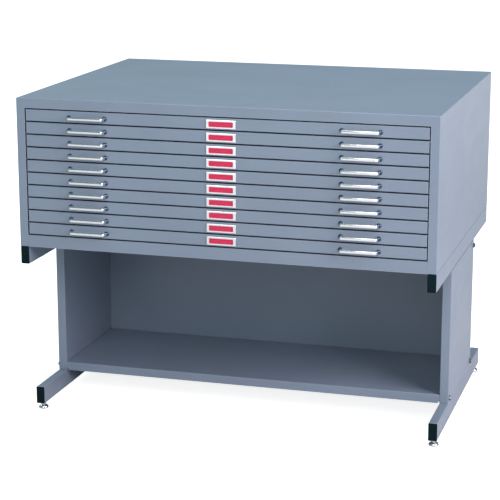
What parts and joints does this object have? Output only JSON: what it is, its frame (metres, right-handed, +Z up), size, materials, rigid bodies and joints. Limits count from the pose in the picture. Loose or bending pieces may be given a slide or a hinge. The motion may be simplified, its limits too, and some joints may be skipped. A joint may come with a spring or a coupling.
{
  "type": "flat file cabinet",
  "caption": "Steel flat file cabinet with shallow wide drawers, bar pulls and label holders, on a raised base with side panels, a book shelf and levelling glides.",
  "frame": {"origin": "centre of the whole object's footprint, on the floor", "axes": "+X to the right of someone facing the drawers, +Y towards the back, +Z up"},
  "size_m": [1.1896, 0.9204, 0.927],
  "materials": {
    "enamel": "semi-gloss baked enamel, fine orange peel",
    "tray_enamel": "semi-gloss baked enamel",
    "runner_steel": "zinc-plated steel",
    "roller_nylon": "moulded nylon",
    "bright_plate": "bright plated",
    "glide_plate": "bright plated, dulled",
    "bolt_steel": "dark zinc-plated steel bolts, nuts and washers",
    "cap_plastic": "moulded black plastic",
    "card_stock": "red index card with fine pale lines"
  },
  "bodies": {
    "cabinet": {"case_wrapper": "enamel", "case_bottom_pan": "enamel", "case_back": "enamel", "left_runner_rack": "runner_steel", "right_runner_rack": "runner_steel", "front_rollers": "roller_nylon", "left_top_rail": "enamel", "right_top_rail": "enamel", "left_side_panel": "enamel", "right_side_panel": "enamel", "left_foot_rail": "enamel", "right_foot_rail": "enamel", "shelf": "enamel", "base_back_panel": "enamel", "rail_end_caps": "cap_plastic", "base_bolts": "bolt_steel"},
    "drawer_01": {"drawer_01_tray": "tray_enamel", "drawer_01_front": "enamel", "drawer_01_pulls": "bright_plate", "drawer_01_label_holder": "bright_plate"},
    "drawer_02": {"drawer_02_tray": "tray_enamel", "drawer_02_front": "enamel", "drawer_02_pulls": "bright_plate", "drawer_02_label_holder": "bright_plate"},
    "drawer_03": {"drawer_03_tray": "tray_enamel", "drawer_03_front": "enamel", "drawer_03_pulls": "bright_plate", "drawer_03_label_holder": "bright_plate"},
    "drawer_04": {"drawer_04_tray": "tray_enamel", "drawer_04_front": "enamel", "drawer_04_pulls": "bright_plate", "drawer_04_label_holder": "bright_plate"},
    "drawer_05": {"drawer_05_tray": "tray_enamel", "drawer_05_front": "enamel", "drawer_05_pulls": "bright_plate", "drawer_05_label_holder": "bright_plate"},
    "drawer_06": {"drawer_06_tray": "tray_enamel", "drawer_06_front": "enamel", "drawer_06_pulls": "bright_plate", "drawer_06_label_holder": "bright_plate"},
    "drawer_07": {"drawer_07_tray": "tray_enamel", "drawer_07_front": "enamel", "drawer_07_pulls": "bright_plate", "drawer_07_label_holder": "bright_plate"},
    "drawer_08": {"drawer_08_tray": "tray_enamel", "drawer_08_front": "enamel", "drawer_08_pulls": "bright_plate", "drawer_08_label_holder": "bright_plate"},
    "drawer_09": {"drawer_09_tray": "tray_enamel", "drawer_09_front": "enamel", "drawer_09_pulls": "bright_plate", "drawer_09_label_holder": "bright_plate"},
    "drawer_10": {"drawer_10_tray": "tray_enamel", "drawer_10_front": "enamel", "drawer_10_pulls": "bright_plate", "drawer_10_label_holder": "bright_plate"},
    "glide_front_left": {"glide_front_left": "glide_plate"},
    "glide_front_right": {"glide_front_right": "glide_plate"},
    "glide_rear_left": {"glide_rear_left": "glide_plate"},
    "glide_rear_right": {"glide_rear_right": "glide_plate"}
  },
  "joints": [
    {"name": "drawer_01_slide", "type": "slide", "parent": "cabinet", "child": "drawer_01", "axis": [0, -1, 0], "range_m": [0, 0.64022]},
    {"name": "drawer_02_slide", "type": "slide", "parent": "cabinet", "child": "drawer_02", "axis": [0, -1, 0], "range_m": [0, 0.64022]},
    {"name": "drawer_03_slide", "type": "slide", "parent": "cabinet", "child": "drawer_03", "axis": [0, -1, 0], "range_m": [0, 0.64022]},
    {"name": "drawer_04_slide", "type": "slide", "parent": "cabinet", "child": "drawer_04", "axis": [0, -1, 0], "range_m": [0, 0.64022]},
    {"name": "drawer_05_slide", "type": "slide", "parent": "cabinet", "child": "drawer_05", "axis": [0, -1, 0], "range_m": [0, 0.64022]},
    {"name": "drawer_06_slide", "type": "slide", "parent": "cabinet", "child": "drawer_06", "axis": [0, -1, 0], "range_m": [0, 0.64022]},
    {"name": "drawer_07_slide", "type": "slide", "parent": "cabinet", "child": "drawer_07", "axis": [0, -1, 0], "range_m": [0, 0.64022]},
    {"name": "drawer_08_slide", "type": "slide", "parent": "cabinet", "child": "drawer_08", "axis": [0, -1, 0], "range_m": [0, 0.64022]},
    {"name": "drawer_09_slide", "type": "slide", "parent": "cabinet", "child": "drawer_09", "axis": [0, -1, 0], "range_m": [0, 0.64022]},
    {"name": "drawer_10_slide", "type": "slide", "parent": "cabinet", "child": "drawer_10", "axis": [0, -1, 0], "range_m": [0, 0.64022]},
    {"name": "glide_front_left_screw", "type": "slide", "parent": "cabinet", "child": "glide_front_left", "axis": [0, 0, -1], "range_m": [0, 0.012]},
    {"name": "glide_front_right_screw", "type": "slide", "parent": "cabinet", "child": "glide_front_right", "axis": [0, 0, -1], "range_m": [0, 0.012]},
    {"name": "glide_rear_left_screw", "type": "slide", "parent": "cabinet", "child": "glide_rear_left", "axis": [0, 0, -1], "range_m": [0, 0.012]},
    {"name": "glide_rear_right_screw", "type": "slide", "parent": "cabinet", "child": "glide_rear_right", "axis": [0, 0, -1], "range_m": [0, 0.012]}
  ]
}
